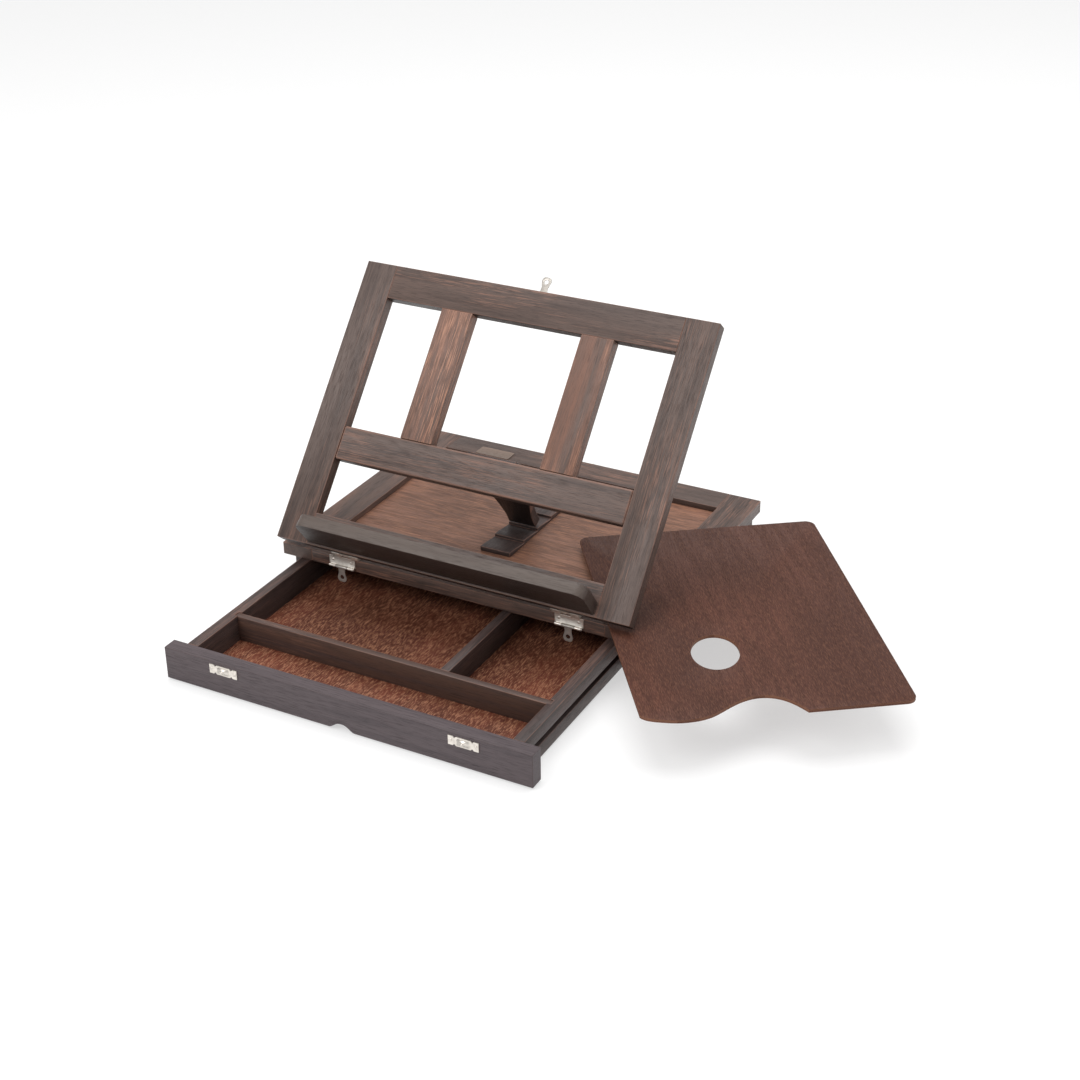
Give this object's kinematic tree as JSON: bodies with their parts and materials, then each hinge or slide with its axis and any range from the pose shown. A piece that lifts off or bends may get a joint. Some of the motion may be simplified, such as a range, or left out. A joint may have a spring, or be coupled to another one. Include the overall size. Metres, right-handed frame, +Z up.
{
  "type": "tabletop box easel",
  "caption": "Tabletop box easel: shallow wooden case with a divided pull-out drawer, a tilting canvas frame on a ratchet prop, hasps and a loose palette.",
  "frame": {"origin": "on the table, under the middle of the whole object's box at rest", "axes": "+X to the viewer's right across the case, +Y from the drawer front towards the back, +Z up"},
  "size_m": [0.5638, 0.4408, 0.2545],
  "materials": {
    "walnut": "satin dark walnut stain",
    "light_walnut": "satin reddish walnut stain",
    "panel_ply": "stained plywood",
    "floor_ply": "red-brown stained plywood",
    "palette_ply": "oiled dark plywood",
    "hardware": "bright nickel plate",
    "plaque_metal": "dulled plate"
  },
  "bodies": {
    "case": {"case_left_rail": "walnut", "case_right_rail": "walnut", "case_front_rail": "walnut", "case_rear_rail": "walnut", "top_panel": "panel_ply", "case_left_wall": "walnut", "case_right_wall": "walnut", "left_runner": "walnut", "right_runner": "walnut", "case_rear_wall": "walnut", "ratchet_strip": "walnut", "blank_plaque": "plaque_metal", "front_hasp_plates": "hardware", "front_hasp_pins": "hardware", "front_hasp_nails": "hardware", "rear_keeper": "hardware", "rear_keeper_nails": "hardware", "case_hinge_leaves": "hardware", "frame_hinge_pins": "hardware", "case_hinge_screws": "hardware"},
    "drawer": {"drawer_front": "walnut", "drawer_left_side": "walnut", "drawer_right_side": "walnut", "drawer_back": "walnut", "drawer_floor": "floor_ply", "cross_divider": "walnut", "long_divider": "walnut", "drawer_keepers": "hardware", "drawer_keeper_nails": "hardware"},
    "canvas_frame": {"frame_left_stile": "walnut", "frame_right_stile": "walnut", "frame_top_rail": "walnut", "frame_crossbar": "walnut", "frame_bottom_rail": "walnut", "canvas_ledge": "walnut", "left_mullion": "light_walnut", "right_mullion": "light_walnut", "top_hasp_plate": "hardware", "top_hasp_pin": "hardware", "top_hasp_nails": "hardware", "frame_hinge_leaves": "hardware", "frame_hinge_screws": "hardware", "prop_hinge_frame_leaf": "hardware", "prop_hinge_pin": "hardware"},
    "prop": {"prop": "walnut", "prop_hinge_prop_leaf": "hardware"},
    "left_tongue": {"left_hasp_tongue": "hardware"},
    "right_tongue": {"right_hasp_tongue": "hardware"},
    "top_tongue": {"top_hasp_tongue": "hardware"},
    "palette": {"palette": "palette_ply"}
  },
  "joints": [
    {"name": "canvas_tilt", "type": "hinge", "parent": "case", "child": "canvas_frame", "pos_m": [-0.1119, -0.04425, 0.0452], "axis": [1, 0, 0], "range_deg": [-49.8, 16.2]},
    {"name": "prop_swing", "type": "hinge", "parent": "canvas_frame", "child": "prop", "pos_m": [-0.1119, 0.02348, 0.12845], "axis": [1, 0, 0], "range_deg": [-35.3, 108.2]},
    {"name": "drawer_slide", "type": "slide", "parent": "case", "child": "drawer", "axis": [0, -1, 0], "range_m": [-0.172, 0.02]},
    {"name": "left_tongue_swing", "type": "hinge", "parent": "case", "child": "left_tongue", "pos_m": [-0.2204, -0.04645, 0.0332], "axis": [1, 0, 0], "range_deg": [-156.6, 18.4]},
    {"name": "right_tongue_swing", "type": "hinge", "parent": "case", "child": "right_tongue", "pos_m": [-0.0034, -0.04645, 0.0332], "axis": [1, 0, 0], "range_deg": [-156.6, 18.4]},
    {"name": "top_tongue_swing", "type": "hinge", "parent": "canvas_frame", "child": "top_tongue", "pos_m": [-0.1119, 0.1203, 0.24302], "axis": [1, 0, 0], "range_deg": [-52, 60]},
    {"name": "palette_slide", "type": "slide", "parent": "case", "child": "palette", "axis": [1, 0, 0], "range_m": [0, 0.17]}
  ],
  "couplings": [
    {"joint": "prop_swing", "follows": "canvas_tilt", "ratio": -2.17},
    {"joint": "left_tongue_swing", "follows": "drawer_slide", "rad_per_m": 15.876},
    {"joint": "right_tongue_swing", "follows": "drawer_slide", "rad_per_m": 15.876}
  ]
}
